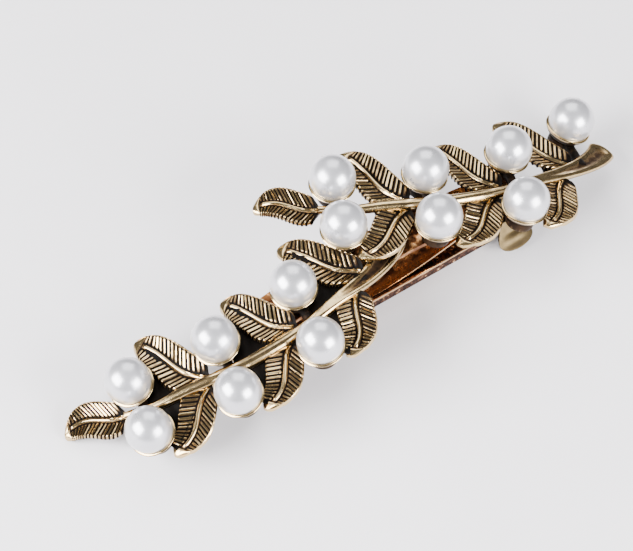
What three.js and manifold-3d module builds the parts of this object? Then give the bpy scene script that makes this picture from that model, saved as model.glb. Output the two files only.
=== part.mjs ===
// Hair barrette: two cast leaf sprigs with imitation pearls on a sprung clip.
// Millimetres, +Z up. The origin is the middle of the clasp arm's flat underside, and X runs along the clip.
import * as THREE from 'three';
import { mergeVertices } from 'three/addons/utils/BufferGeometryUtils.js';
import Module from 'manifold-3d';

const wasm = await Module();
wasm.setup();

// ---- driving dimensions ----------------------------------------------------------------

// Pearls and the cups that hold them
const PEARL_RADIUS = 4.0;
const PEARL_SEAT_GAP = 0.3; // glue line between a pearl and its cup
const CUP_WALL = 0.5;
const CUP_RIM_BELOW = 2.3; // from the pearl's centre down to the cup's rim
const FOOT_RADIUS = 1.8;
const FOOT_HEIGHT = 0.7;
const PEG_RADIUS = 0.45;
const PEG_LENGTH = 3.0; // from the cup's floor up into the pearl
const BORE_GAP = 0.3;

// The arched sheet through the pearls' centres, on which both sprigs are laid out
const ARCH_RADIUS = 125;
const ARCH_CROWN_X = -4;
const PEARL_UNDERSIDE = 13; // height of the lower sprig's pearl undersides at the crown

// Sprig, in its own flat layout: u runs from the end leaf to the open stem end, v to its left
const STEM_OVER_UNDERSIDE = 1.0; // from the pearls' undersides up to the stem's axis
const STEM_PATH = [[-3.2, 1.0], [2, -0.4], [8, -1.0], [14, -1.7], [20, -2.0], [29.5, -1.2],
  [37, 1.0], [43, 3.0], [48, 5.3], [51.4, 7.7], [53.3, 9.8]];
const STEM_TIP_RADIUS = 0.7;
const STEM_RADIUS = 1.15;
const STEM_FLARE = 2.1; // half the width of the open end
const STEM_END_THICKNESS = 1.7;
const STEM_SWELLS_BY = 0.3; // share of the stem's length over which its thin tip swells
const STEM_FLARES_FROM = 0.55; // share of the stem's length at which it starts to flare
const STEM_GROOVE = 0.6; // depth of the open end's groove, as a share of its half thickness
const LEAF_OVER_UNDERSIDE = 0.8;
const LEAF_THICKNESS = 0.8;
const LEAF_TROUGH = 0.5;
const LEAF_BASE_WIDTH = 0.05; // how far into the outline's curve a leaf starts, so its base has a width
const LEAF_TIP_WIDTH = 0.01; // how far short of the outline's end a leaf stops
const LEAF_BROAD_NEAR_BASE = 0.8; // under 1, the widest place moves towards the base
const LEAF_FULLNESS = 0.7; // under 1, the outline is fuller than a plain sine
const BRANCH_RADIUS = 0.9;
const SPRIG_GAP = 0.35; // clear space where one sprig crosses the other

// Each leaf: where its midrib starts and ends, half its width, its sideways bow and its tip's rise
const LEAVES = [
  { base: [-2.6, 1.0], tip: [-13.9, 4.0], half: 3.2, bow: -1.0, rise: 1.0 },
  { base: [12.6, -0.8], tip: [4.1, 12.3], half: 3.5, bow: 0.6, rise: -0.4 },
  { base: [30.0, 0.2], tip: [20.4, 11.0], half: 3.4, bow: 0.8, rise: -0.4 },
  { base: [45.2, 5.0], tip: [33.8, 15.8], half: 3.5, bow: 0.7, rise: -0.4 },
  { base: [12.2, -1.8], tip: [1.1, -9.9], half: 3.3, bow: 0.8, rise: -0.4 },
  { base: [28.2, -1.4], tip: [18.4, -10.9], half: 3.3, bow: 1.0, rise: -0.4 },
  { base: [42.4, 2.2], tip: [35.4, -8.9], half: 3.2, bow: 0.8, rise: -0.4 },
];

// Each pearl: how far along the stem, on which side, and its reach beyond touching the stem's line
const PEARLS = [
  { u: 0.4, side: 1, reach: 0.9 },
  { u: -0.4, side: -1, reach: 1.2 },
  { u: 16.4, side: 1, reach: 1.3 },
  { u: 15.6, side: -1, reach: 1.5 },
  { u: 32.4, side: 1, reach: 2.6 },
  { u: 31.6, side: -1, reach: 1.3 },
  { u: 47.0, side: 1, reach: 4.6 },
];

// Where each sprig's layout starts on the arched sheet, which way it points, and how high it sits
const SPRIGS = {
  lower: { start: [-45.9, -2.1], angle: -8.5, lift: 0, sink: 0.9, pearls: 6 },
  upper: { start: [2.2, 7.9], angle: -18.7, lift: 1.5, sink: 0, pearls: 7 },
};
const SINK_FROM = 38; // along the lower stem, where it starts to dip under the upper sprig
const SINK_TO = 47;
const LOWER_SEATS = [{ at: 51 }]; // posts under the stems that carry the sprigs on the base plate
const UPPER_SEATS = [{ at: 11 }, { at: 24 }];
const SEAT_RADIUS = 1.2;

// Clip
const CLIP_LENGTH = 59;
const ARM_WIDTH = 6.4;
const ARM_FLOOR = 0.8;
const ARM_FLANGE = 0.6;
const ARM_HEIGHT = 2.0;
const SIDE_GAP = 0.3;
const PLATE_THICKNESS = 0.8;
const PLATE_RADIUS = 100;
const LUG_THICKNESS = 0.6;
const LUG_OVERLAP = 0.2;
const SEAT_GAP = 0.3; // solder line between the posts and the base plate

const PIN_RADIUS = 0.7;
const PIN_RUNNING_GAP = 0.06;
const PIN_INSET = 2.0; // from the clip's end to the pin's axis
const PIN_HEIGHT = 3.0;
const PIN_HEAD_RADIUS = 1.1;
const PIN_HEAD = 0.4;
const KNUCKLE_RADIUS = 1.7;

const BAR_SIDE_GAP = 0.2; // from the tension bar to the arm's flanges
const BAR_THICKNESS = 0.5;
const BAR_LOW_X = -7;
const BAR_LOW_Z = 1.6;
const BAR_END_INSET = 8.5; // from the clip's free end to the tension bar's tip
const BAR_EYE_RADIUS = 1.4;

const CATCH_LENGTH = 6.4;
const CATCH_THICKNESS = 0.6;
const CATCH_INSET = 0.7;
const RIVET_RADIUS = 0.8;
const RIVET_HEAD_RADIUS = 1.3;
const RIVET_HEAD = 0.4;
const RIVET_FOOT_RADIUS = 1.1;
const RIVET_FOOT = 0.2;
const SHEET_GAP = 0.2;

const EAR_LENGTH = 4.0; // along the clip
const EAR_THICKNESS = 0.6;
const EAR_PAD_HALF = 3.4; // half the oval finger pad along the clip
const EAR_PAD_DROP = 1.8; // half the pad down its slope
const EAR_NECK = 1.9;
const EAR_TIP_CUT = 0.05; // the pad's oval end is trimmed by this much
const EAR_SLOPE = 42; // degrees out from the vertical
const EAR_DOME = 0.4;
const EAR_ROOT_GAP = 0.4;
const PRONG_SIDE_GAP = 0.5; // from a prong to the arm's flange
const PRONG_FOOT = 0.5; // height of the prong's tip
const BARB_HEIGHT = 0.5;
const BARB_GAP = 0.1;
const SLOT_GAP = 0.9; // from a prong to the slot's ends
const NOSE_RELIEF = 1.2; // the side rails of the arm's nose start this high

const ROUND = 16; // facets on turned clip parts
const PEARL_FACETS = 14;
const PEARL_STEPS = 7;
const CUP_FACETS = 12;

// ---- materials -------------------------------------------------------------------------

const antiqueGold = () => new THREE.MeshStandardMaterial({ color: 0xa88c58, roughness: 0.38, metalness: 1 });
const pearlWhite = () => new THREE.MeshStandardMaterial({ color: 0xece9e6, roughness: 0.22, metalness: 0 });
const roseGold = () => new THREE.MeshStandardMaterial({ color: 0xc07a48, roughness: 0.22, metalness: 1 });
const paleGold = () => new THREE.MeshStandardMaterial({ color: 0xbfae84, roughness: 0.5, metalness: 1 });

// ---- helpers ---------------------------------------------------------------------------

const rad = THREE.MathUtils.degToRad;
const lerp = THREE.MathUtils.lerp;
const smooth = THREE.MathUtils.smoothstep;

function solid(geometry) {
  const bare = geometry.clone();
  bare.deleteAttribute('normal');
  bare.deleteAttribute('uv');
  const merged = mergeVertices(bare, 1e-5);
  return new wasm.Manifold(new wasm.Mesh({
    numProp: 3,
    vertProperties: new Float32Array(merged.attributes.position.array),
    triVerts: new Uint32Array(merged.index.array),
  }));
}

function geometryOf(body) {
  const mesh = body.getMesh();
  const geometry = new THREE.BufferGeometry();
  geometry.setAttribute('position', new THREE.BufferAttribute(Float32Array.from(mesh.vertProperties), 3));
  geometry.setIndex(new THREE.BufferAttribute(Uint32Array.from(mesh.triVerts), 1));
  geometry.computeVertexNormals();
  return geometry;
}

function named(name, body, material) {
  const mesh = new THREE.Mesh(body.isBufferGeometry ? body : geometryOf(body), material);
  mesh.name = name;
  return mesh;
}

const joined = (bodies) => bodies.reduce((whole, body) => whole.add(body));
const cut = (body, tools) => tools.reduce((left, tool) => left.subtract(tool), body);

// Moves every vertex of a geometry to where place(x, y, z) puts it.
function reshaped(geometry, place) {
  const position = geometry.attributes.position;
  for (let i = 0; i < position.count; i += 1) {
    const p = place(position.getX(i), position.getY(i), position.getZ(i));
    position.setXYZ(i, p.x, p.y, p.z);
  }
  return geometry;
}

function block(lowX, highX, lowY, highY, lowZ, highZ) {
  const geometry = new THREE.BoxGeometry(highX - lowX, highY - lowY, highZ - lowZ);
  geometry.translate((lowX + highX) / 2, (lowY + highY) / 2, (lowZ + highZ) / 2);
  return solid(geometry);
}

// A round bar along Y between two places across the clip.
function barAcross(radius, x, z, lowY, highY) {
  const geometry = new THREE.CylinderGeometry(radius, radius, highY - lowY, ROUND);
  geometry.translate(x, (lowY + highY) / 2, z);
  return solid(geometry);
}

// A round bar along Z.
function barUp(radius, x, y, lowZ, highZ) {
  const geometry = new THREE.CylinderGeometry(radius, radius, highZ - lowZ, ROUND);
  geometry.rotateX(Math.PI / 2);
  geometry.translate(x, y, (lowZ + highZ) / 2);
  return solid(geometry);
}

// A profile of [radius, height] points turned about Z.
function turned(profile, facets) {
  const geometry = new THREE.LatheGeometry(profile.map(([r, z]) => new THREE.Vector2(r, z)), facets);
  geometry.rotateX(Math.PI / 2);
  return geometry;
}

// ---- the arched layout -----------------------------------------------------------------

const PEARL_LEVEL = PEARL_UNDERSIDE + PEARL_RADIUS;
const STEM_DROP = PEARL_RADIUS - STEM_OVER_UNDERSIDE;
const LEAF_LEVEL = LEAF_OVER_UNDERSIDE - PEARL_RADIUS;

// The angle of the arch over a sprig's layout point, and its place across the clip.
function onArch(sprig, u, v) {
  const turn = rad(sprig.angle);
  const along = sprig.start[0] + u * Math.cos(turn) - v * Math.sin(turn);
  const across = sprig.start[1] + u * Math.sin(turn) + v * Math.cos(turn);
  return { tilt: along / ARCH_RADIUS, across };
}

function archPoint(sprig, u, v, height) {
  const { tilt, across } = onArch(sprig, u, v);
  const reach = ARCH_RADIUS + sprig.lift + height;
  const x = ARCH_CROWN_X + reach * Math.sin(tilt);
  return new THREE.Vector3(x, across, PEARL_LEVEL - ARCH_RADIUS + reach * Math.cos(tilt));
}

const stemCurve = new THREE.CatmullRomCurve3(STEM_PATH.map(([u, v]) => new THREE.Vector3(u, v, 0)));

// The stem's sideways place at a distance u along the layout.
function stemAt(u) {
  let low = 0;
  let high = 1;
  for (let step = 0; step < 30; step += 1) {
    const middle = (low + high) / 2;
    if (stemCurve.getPoint(middle).x < u) low = middle;
    else high = middle;
  }
  return stemCurve.getPoint(low).y;
}

const stemLevel = (sprig, u) => -STEM_DROP - sprig.sink * smooth(u, SINK_FROM, SINK_TO);

function pearlPlace(sprig, pearl) {
  const v = stemAt(pearl.u) + pearl.side * (PEARL_RADIUS + pearl.reach);
  return { u: pearl.u, v, tilt: onArch(sprig, pearl.u, v).tilt, centre: archPoint(sprig, pearl.u, v, 0) };
}

const pearlPlaces = (sprig) => PEARLS.slice(0, sprig.pearls).map((pearl) => pearlPlace(sprig, pearl));

// Sets a solid made around a pearl's centre into its place on the arch.
function setAt(geometry, place) {
  geometry.rotateY(place.tilt);
  geometry.translate(place.centre.x, place.centre.y, place.centre.z);
  return geometry;
}

// ---- base plate heights ----------------------------------------------------------------

const CLIP_END = CLIP_LENGTH / 2;
const PIN_X = PIN_INSET - CLIP_END;
const LUG_INSIDE = ARM_WIDTH / 2 + SIDE_GAP;
const ARM_INSIDE = ARM_WIDTH / 2 - ARM_FLANGE;
const BAR_WIDTH = 2 * (ARM_INSIDE - BAR_SIDE_GAP);
const PRONG_INSIDE = ARM_INSIDE - PRONG_SIDE_GAP - EAR_THICKNESS;
const PLATE_HALF = LUG_INSIDE + LUG_OVERLAP;
const SEAT_AT = LOWER_SEATS[0].at;
const SEAT_LEVEL = stemLevel(SPRIGS.lower, SEAT_AT) - STEM_END_THICKNESS / 2;
const LOWEST_STEM = archPoint(SPRIGS.lower, SEAT_AT, stemAt(SEAT_AT), SEAT_LEVEL);
const PLATE_CROWN = LOWEST_STEM.z - SEAT_GAP;

const archDrop = (x, radius) => radius - Math.sqrt(radius * radius - x * x);
const plateTop = (x) => PLATE_CROWN - archDrop(x, PLATE_RADIUS);

// An arched sheet that follows the base plate, a stated depth under its top.
function archedSheet(lowX, highX, half, depth, thickness, steps) {
  const geometry = new THREE.BoxGeometry(highX - lowX, 2 * half, thickness, steps, 1, 1);
  const middle = (lowX + highX) / 2;
  reshaped(geometry, (x, y, z) => {
    const top = plateTop(x + middle) - depth;
    return new THREE.Vector3(x + middle, y, top - thickness / 2 + z);
  });
  return solid(geometry);
}

// ---- sprig castings --------------------------------------------------------------------

// Half the width of a leaf at a share a of its length.
function leafHalf(leaf, a) {
  const along = Math.pow(a * (1 - LEAF_BASE_WIDTH - LEAF_TIP_WIDTH) + LEAF_BASE_WIDTH, LEAF_BROAD_NEAR_BASE);
  return leaf.half * Math.pow(Math.sin(Math.PI * along), LEAF_FULLNESS);
}

// One cupped leaf: a raised midrib and rim with a trough on each side of the midrib.
function leafSolid(sprig, leaf, grow) {
  const [u0, v0] = leaf.base;
  const reach = Math.hypot(leaf.tip[0] - u0, leaf.tip[1] - v0);
  const dir = [(leaf.tip[0] - u0) / reach, (leaf.tip[1] - v0) / reach];
  const geometry = new THREE.BoxGeometry(1, 2, 2, 7, 4, 1);
  reshaped(geometry, (x, b, c) => {
    const a = x + 0.5;
    const half = leafHalf(leaf, a) + grow;
    const side = leaf.bow * Math.sin(Math.PI * a) + b * half;
    const trough = LEAF_TROUGH * Math.sin(Math.PI * Math.abs(b)) * Math.sin(Math.PI * Math.min(1, a + 0.2));
    const height = LEAF_LEVEL + leaf.rise * a * a - trough + c * (LEAF_THICKNESS / 2 + grow);
    const u = u0 + dir[0] * reach * a - dir[1] * side;
    const v = v0 + dir[1] * reach * a + dir[0] * side;
    return archPoint(sprig, u, v, height);
  });
  return solid(geometry);
}

// The stem: a round wire that swells along its length into a flat, grooved open end.
function stemSolid(sprig, grow) {
  const geometry = new THREE.CylinderGeometry(1, 1, 1, 8, 22);
  reshaped(geometry, (x, y, z) => {
    const t = y + 0.5;
    const p = stemCurve.getPoint(t);
    const d = stemCurve.getTangent(t);
    const round = lerp(STEM_TIP_RADIUS, STEM_RADIUS, smooth(t, 0, STEM_SWELLS_BY));
    const flare = smooth(t, STEM_FLARES_FROM, 1);
    const half = lerp(round, STEM_FLARE, flare) + grow;
    const tall = lerp(round, STEM_END_THICKNESS / 2, flare) + grow;
    const groove = STEM_GROOVE * flare * Math.pow(Math.max(0, z), 4) * tall;
    const height = stemLevel(sprig, p.x) + z * tall - groove;
    return archPoint(sprig, p.x + d.y * x * half, p.y - d.x * x * half, height);
  });
  return solid(geometry);
}

function cupSolid(place, grow) {
  const outside = PEARL_RADIUS + PEARL_SEAT_GAP + CUP_WALL + grow;
  const foot = FOOT_RADIUS + grow;
  const profile = [[0, -outside - FOOT_HEIGHT], [foot, -outside - FOOT_HEIGHT]];
  const rimAngle = Math.asin(CUP_RIM_BELOW / outside);
  const footAngle = Math.acos(foot / outside);
  for (let step = 0; step <= 3; step += 1) {
    const angle = lerp(footAngle, rimAngle, step / 3);
    profile.push([outside * Math.cos(angle), -outside * Math.sin(angle)]);
  }
  profile.push([0, -CUP_RIM_BELOW]);
  return solid(setAt(turned(profile, CUP_FACETS), place));
}

// The space a pearl needs in the casting under it.
function pearlRoom(place) {
  const ball = new THREE.SphereGeometry(PEARL_RADIUS + PEARL_SEAT_GAP, CUP_FACETS, 8).rotateX(Math.PI / 2);
  return solid(setAt(ball, place));
}

function pegSolid(place) {
  const foot = -PEARL_RADIUS - PEARL_SEAT_GAP - CUP_WALL / 2;
  const geometry = new THREE.CylinderGeometry(PEG_RADIUS, PEG_RADIUS, PEG_LENGTH, 6).rotateX(Math.PI / 2);
  geometry.translate(0, 0, foot + PEG_LENGTH / 2);
  return solid(setAt(geometry, place));
}

// The short arm of metal from the stem to a cup's foot.
function branchSolid(sprig, place) {
  const geometry = new THREE.CylinderGeometry(BRANCH_RADIUS, BRANCH_RADIUS, 1, 6, 1);
  const fromV = stemAt(place.u);
  const foot = -PEARL_RADIUS - PEARL_SEAT_GAP - CUP_WALL;
  const way = Math.sign(place.v - fromV);
  reshaped(geometry, (x, y, z) => {
    const t = y + 0.5;
    const level = lerp(stemLevel(sprig, place.u), foot + BRANCH_RADIUS / 2, t);
    return archPoint(sprig, place.u + x * way, lerp(fromV, place.v, t), level + z);
  });
  return solid(geometry);
}

// A post under the stem, ending just over the base plate.
function seatSolid(sprig, u, v) {
  const top = archPoint(sprig, u, v, stemLevel(sprig, u));
  const foot = plateTop(top.x) + SEAT_GAP;
  return top.z - foot > 0.1 ? [barUp(SEAT_RADIUS, top.x, top.y, foot, top.z)] : [];
}

function sprigCasting(sprig, seats, neighbour) {
  const places = pearlPlaces(sprig);
  const everyPlace = places.concat(pearlPlaces(neighbour));
  let body = joined([
    stemSolid(sprig, 0),
    ...LEAVES.map((leaf) => leafSolid(sprig, leaf, 0)),
    ...places.map((place) => cupSolid(place, 0)),
    ...places.map((place) => branchSolid(sprig, place)),
    ...seats.flatMap(({ at }) => seatSolid(sprig, at, stemAt(at))),
  ]);
  body = cut(body, everyPlace.map(pearlRoom));
  return joined([body, ...places.map(pegSolid)]);
}

// The upper sprig's outline, grown by the gap that the lower sprig leaves around it.
function upperRoom() {
  const places = pearlPlaces(SPRIGS.upper);
  return [
    stemSolid(SPRIGS.upper, SPRIG_GAP),
    ...LEAVES.map((leaf) => leafSolid(SPRIGS.upper, leaf, SPRIG_GAP)),
    ...places.map((place) => branchSolid(SPRIGS.upper, place)),
    ...places.map((place) => cupSolid(place, SPRIG_GAP)),
  ];
}

function pearlGeometry() {
  const bore = PEG_RADIUS + BORE_GAP;
  const boreEnd = -PEARL_RADIUS - PEARL_SEAT_GAP - CUP_WALL / 2 + PEG_LENGTH + BORE_GAP;
  const profile = [[0, boreEnd], [bore, boreEnd]];
  const first = -Math.acos(bore / PEARL_RADIUS);
  for (let step = 0; step <= PEARL_STEPS; step += 1) {
    const angle = lerp(first, Math.PI / 2, step / PEARL_STEPS);
    profile.push([step === PEARL_STEPS ? 0 : PEARL_RADIUS * Math.cos(angle), PEARL_RADIUS * Math.sin(angle)]);
  }
  return turned(profile, PEARL_FACETS);
}

function pearlMeshes(prefix, sprig) {
  return pearlPlaces(sprig).map((place, index) => {
    const mesh = named(`${prefix}_pearl_${index + 1}`, pearlGeometry(), pearlWhite());
    mesh.position.copy(place.centre);
    mesh.rotation.y = place.tilt;
    return mesh;
  });
}

// ---- clip ------------------------------------------------------------------------------

const RIVET_X = CLIP_END - CATCH_INSET - CATCH_LENGTH / 2;
const pinHole = () => barAcross(PIN_RADIUS + PIN_RUNNING_GAP, PIN_X, PIN_HEIGHT, -CLIP_END, CLIP_END);
const rivetHole = () => barUp(RIVET_RADIUS + SHEET_GAP, RIVET_X, 0, 0, PLATE_CROWN);

// A hinge lug: a rounded side plate from the base plate down around the pin.
function lugSolid(side) {
  const inner = LUG_INSIDE;
  const outer = LUG_INSIDE + LUG_THICKNESS;
  const lowY = side > 0 ? inner : -outer;
  const highY = side > 0 ? outer : -inner;
  const top = plateTop(PIN_X + KNUCKLE_RADIUS) - PLATE_THICKNESS / 2;
  const web = block(PIN_X - KNUCKLE_RADIUS, PIN_X + KNUCKLE_RADIUS, lowY, highY, PIN_HEIGHT, top);
  return barAcross(KNUCKLE_RADIUS, PIN_X, PIN_HEIGHT, lowY, highY).add(web);
}

function basePlate() {
  const sheet = archedSheet(-CLIP_END, CLIP_END, PLATE_HALF, 0, PLATE_THICKNESS, 18);
  return cut(joined([sheet, lugSolid(1), lugSolid(-1)]), [pinHole(), rivetHole()]);
}

function hingePin() {
  const end = LUG_INSIDE + LUG_THICKNESS + SHEET_GAP;
  const shaft = barAcross(PIN_RADIUS, PIN_X, PIN_HEIGHT, -end, end);
  const heads = [-1, 1].map((side) => {
    const edge = side * end;
    const out = edge + side * PIN_HEAD;
    return barAcross(PIN_HEAD_RADIUS, PIN_X, PIN_HEIGHT, Math.min(edge, out), Math.max(edge, out));
  });
  return joined([shaft, ...heads]);
}

// The clasp arm: a flat channel with hinge cheeks at one end and an open slotted nose at the other.
function claspArm() {
  const half = ARM_WIDTH / 2;
  const floor = block(PIN_X, CLIP_END, -half, half, 0, ARM_FLOOR);
  const sides = [-1, 1].map((side) => {
    const lowY = side > 0 ? half - ARM_FLANGE : -half;
    const cheek = barAcross(KNUCKLE_RADIUS, PIN_X, PIN_HEIGHT, lowY, lowY + ARM_FLANGE);
    const post = block(PIN_X - KNUCKLE_RADIUS / 2, PIN_X + KNUCKLE_RADIUS,
      lowY, lowY + ARM_FLANGE, 0, PIN_HEIGHT);
    return joined([block(PIN_X, CLIP_END, lowY, lowY + ARM_FLANGE, 0, ARM_HEIGHT), cheek, post]);
  });
  const slotLow = RIVET_X - EAR_LENGTH / 2 - SLOT_GAP;
  const slotHigh = RIVET_X + EAR_LENGTH / 2 + SLOT_GAP;
  const slot = block(slotLow, slotHigh, ARM_FLANGE - half, half - ARM_FLANGE, -1, ARM_HEIGHT + 1);
  const relief = block(slotLow, CLIP_END + 1, -half - 1, half + 1, -1, NOSE_RELIEF);
  const bridge = block(slotHigh, CLIP_END, -half, half, NOSE_RELIEF, ARM_HEIGHT);
  return cut(joined([floor, ...sides, bridge]), [slot, relief, pinHole()]);
}

// The tension bar: a strip bowed down towards the arm, with an eye around the pin.
function tensionBar() {
  const eyeZ = PIN_HEIGHT + BAR_EYE_RADIUS - BAR_THICKNESS / 2;
  const rise = eyeZ - BAR_LOW_Z;
  const run = BAR_LOW_X - PIN_X;
  const bow = (run * run + rise * rise) / (2 * rise);
  const end = CLIP_END - BAR_END_INSET;
  const geometry = new THREE.BoxGeometry(end - PIN_X, BAR_WIDTH, BAR_THICKNESS, 18, 1, 1);
  reshaped(geometry, (x, y, z) => {
    const along = x + (end + PIN_X) / 2;
    return new THREE.Vector3(along, y, BAR_LOW_Z + archDrop(along - BAR_LOW_X, bow) + z);
  });
  const eye = barAcross(BAR_EYE_RADIUS, PIN_X, PIN_HEIGHT, -BAR_WIDTH / 2, BAR_WIDTH / 2);
  return cut(joined([solid(geometry), eye]), [pinHole()]);
}

const CATCH_DEPTH = PLATE_THICKNESS + SHEET_GAP;
const EAR_ROOT_Z = plateTop(CLIP_END - CATCH_INSET) - CATCH_DEPTH - CATCH_THICKNESS - EAR_ROOT_GAP;

function catchPlate() {
  const high = CLIP_END - CATCH_INSET;
  const sheet = archedSheet(high - CATCH_LENGTH, high, PLATE_HALF, CATCH_DEPTH, CATCH_THICKNESS, 4);
  return cut(sheet, [rivetHole()]);
}

function catchRivet() {
  const top = plateTop(RIVET_X - RIVET_HEAD_RADIUS) + SHEET_GAP / 2;
  const foot = plateTop(RIVET_X + RIVET_HEAD_RADIUS) - CATCH_DEPTH - CATCH_THICKNESS - SHEET_GAP / 2;
  return joined([
    barUp(RIVET_RADIUS, RIVET_X, 0, foot, top),
    barUp(RIVET_HEAD_RADIUS, RIVET_X, 0, top, top + RIVET_HEAD),
    barUp(RIVET_FOOT_RADIUS, RIVET_X, 0, foot - RIVET_FOOT, foot),
  ]);
}

// A release ear: a tab under the catch plate, a barbed prong down through the arm's nose,
// and an oval domed finger pad flared out to the side.
function releaseEar(side) {
  const lowX = RIVET_X - EAR_LENGTH / 2;
  const highX = RIVET_X + EAR_LENGTH / 2;
  const across = (inner, outer, lowZ, highZ) => block(lowX, highX,
    side > 0 ? inner : -outer, side > 0 ? outer : -inner, lowZ, highZ);
  const rootY = PLATE_HALF + EAR_THICKNESS;
  const tab = across(PRONG_INSIDE, rootY, EAR_ROOT_Z - EAR_THICKNESS, EAR_ROOT_Z);
  const prong = across(PRONG_INSIDE, PRONG_INSIDE + EAR_THICKNESS, PRONG_FOOT, EAR_ROOT_Z);
  const barbEnd = ARM_INSIDE - BARB_GAP;
  const barb = across(PRONG_INSIDE, barbEnd, PRONG_FOOT, PRONG_FOOT + BARB_HEIGHT);
  const padLength = EAR_NECK + 2 * EAR_PAD_DROP - EAR_TIP_CUT;
  const middle = EAR_NECK + EAR_PAD_DROP;
  const slope = rad(EAR_SLOPE);
  const geometry = new THREE.BoxGeometry(EAR_LENGTH, 1, EAR_THICKNESS, 4, 12, 1);
  reshaped(geometry, (x, y, z) => {
    const far = (0.5 + y * side) * padLength;
    const fromMiddle = Math.min(Math.abs(far - middle) / EAR_PAD_DROP, 1);
    const ring = EAR_PAD_HALF * Math.sqrt(1 - fromMiddle ** 2);
    const half = far < middle ? Math.max(ring, EAR_LENGTH / 2) : ring;
    const across01 = x / (EAR_LENGTH / 2);
    const dome = EAR_DOME * (1 - across01 ** 2) * (1 - fromMiddle ** 2);
    const outward = z + dome;
    const y2 = rootY - EAR_THICKNESS / 2 + far * Math.sin(slope) + outward * Math.cos(slope);
    const z2 = EAR_ROOT_Z - EAR_THICKNESS / 2 - far * Math.cos(slope) + outward * Math.sin(slope);
    return new THREE.Vector3(RIVET_X + across01 * half, side * y2, z2);
  });
  return joined([tab, prong, barb, solid(geometry)]);
}

// ---- assembly --------------------------------------------------------------------------

const barrette = new THREE.Group();
const lowerCasting = cut(sprigCasting(SPRIGS.lower, LOWER_SEATS, SPRIGS.upper), upperRoom());
barrette.add(named('lower_sprig', lowerCasting, antiqueGold()));
barrette.add(named('upper_sprig', sprigCasting(SPRIGS.upper, UPPER_SEATS, SPRIGS.lower), antiqueGold()));
barrette.add(...pearlMeshes('lower', SPRIGS.lower), ...pearlMeshes('upper', SPRIGS.upper));
barrette.add(named('base_plate', basePlate(), roseGold()));
barrette.add(named('hinge_pin', hingePin(), roseGold()));
barrette.add(named('clasp_arm', claspArm(), roseGold()));
barrette.add(named('tension_bar', tensionBar(), roseGold()));
barrette.add(named('catch_plate', catchPlate(), roseGold()));
barrette.add(named('catch_rivet', catchRivet(), roseGold()));
barrette.add(named('front_release_ear', releaseEar(-1), paleGold()));
barrette.add(named('back_release_ear', releaseEar(1), paleGold()));

export default barrette;
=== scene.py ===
"""Hair barrette: two cast leaf sprigs with imitation pearls on a sprung clip. Metres, +Z up."""

import math
from contextlib import contextmanager

import bpy
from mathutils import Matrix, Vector


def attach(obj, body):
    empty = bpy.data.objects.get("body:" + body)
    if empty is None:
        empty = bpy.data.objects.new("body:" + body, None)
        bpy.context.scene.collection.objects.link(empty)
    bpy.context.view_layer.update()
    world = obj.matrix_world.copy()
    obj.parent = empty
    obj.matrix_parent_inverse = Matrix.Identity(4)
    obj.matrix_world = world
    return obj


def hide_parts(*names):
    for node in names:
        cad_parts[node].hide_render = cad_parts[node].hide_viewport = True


bl_info = {
    "name": "Pearl Leaf Barrette",
    "version": (1, 0, 0),
    "blender": (4, 5, 0),
    "location": "View3D > Sidebar > Barrette",
    "description": "Models a cast leaf barrette with imitation pearls on a sprung clip",
    "category": "Add Mesh",
}

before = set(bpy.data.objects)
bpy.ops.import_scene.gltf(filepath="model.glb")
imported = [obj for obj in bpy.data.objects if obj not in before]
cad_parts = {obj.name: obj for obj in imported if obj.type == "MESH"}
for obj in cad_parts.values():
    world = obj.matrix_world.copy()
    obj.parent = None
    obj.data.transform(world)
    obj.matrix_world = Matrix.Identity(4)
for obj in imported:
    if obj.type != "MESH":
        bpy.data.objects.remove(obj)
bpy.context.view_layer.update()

MM = 0.001

# The stem of one sprig in its flat layout, in millimetres: u runs from the end leaf, v to its left
STEM_PATH = [(-3.2, 1.0), (2, -0.4), (8, -1.0), (14, -1.7), (20, -2.0), (29.5, -1.2),
             (37, 1.0), (43, 3.0), (48, 5.3), (51.4, 7.7), (53.3, 9.8)]

# Each leaf: where its midrib starts and ends, half its width, its sideways bow and its tip's rise
LEAVES = [
    ((-2.6, 1.0), (-13.9, 4.0), 3.2, -1.0, 1.0),
    ((12.6, -0.8), (4.1, 12.3), 3.5, 0.6, -0.4),
    ((30.0, 0.2), (20.4, 11.0), 3.4, 0.8, -0.4),
    ((45.2, 5.0), (33.8, 15.8), 3.5, 0.7, -0.4),
    ((12.2, -1.8), (1.1, -9.9), 3.3, 0.8, -0.4),
    ((28.2, -1.4), (18.4, -10.9), 3.3, 1.0, -0.4),
    ((42.4, 2.2), (35.4, -8.9), 3.2, 0.8, -0.4),
]

# Each pearl: how far along the stem, on which side, and its reach beyond touching the stem's line
PEARLS = [(0.4, 1, 0.9), (-0.4, -1, 1.2), (16.4, 1, 1.3), (15.6, -1, 1.5),
          (32.4, 1, 2.6), (31.6, -1, 1.3), (47.0, 1, 4.6)]

# Each sprig: where its layout starts, which way it points, its lift, the dip of its open end,
# its pearls, how far its dark webs of painted shadow reach and how deep its open end is grooved
SPRIGS = {
    "lower": {"start": (-45.9, -2.1), "angle": -8.5, "lift": 0.0, "sink": 0.9, "pearls": 6, "web": 13.0,
              "groove": 1.1},
    "upper": {"start": (2.2, 7.9), "angle": -18.7, "lift": 1.5, "sink": 0.0, "pearls": 7, "web": 6.0,
              "groove": 0.8},
}

# Where along the layout the lower sprig's stem starts to dip, and where its dip is full
SINK_FROM, SINK_TO = 38.0, 47.0

# The arch that both sprigs are laid over, its crown's place along the clip, and the pearls' height there
ARCH_RADIUS = 125.0
ARCH_CROWN_X = -4.0
PEARL_LEVEL = 17.0


# ---- sizes ------------------------------------------------------------------------------

def length(name, description, default):
    return bpy.props.FloatProperty(name=name, description=description, default=default * MM,
                                   unit="LENGTH", subtype="DISTANCE", precision=5)


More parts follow.
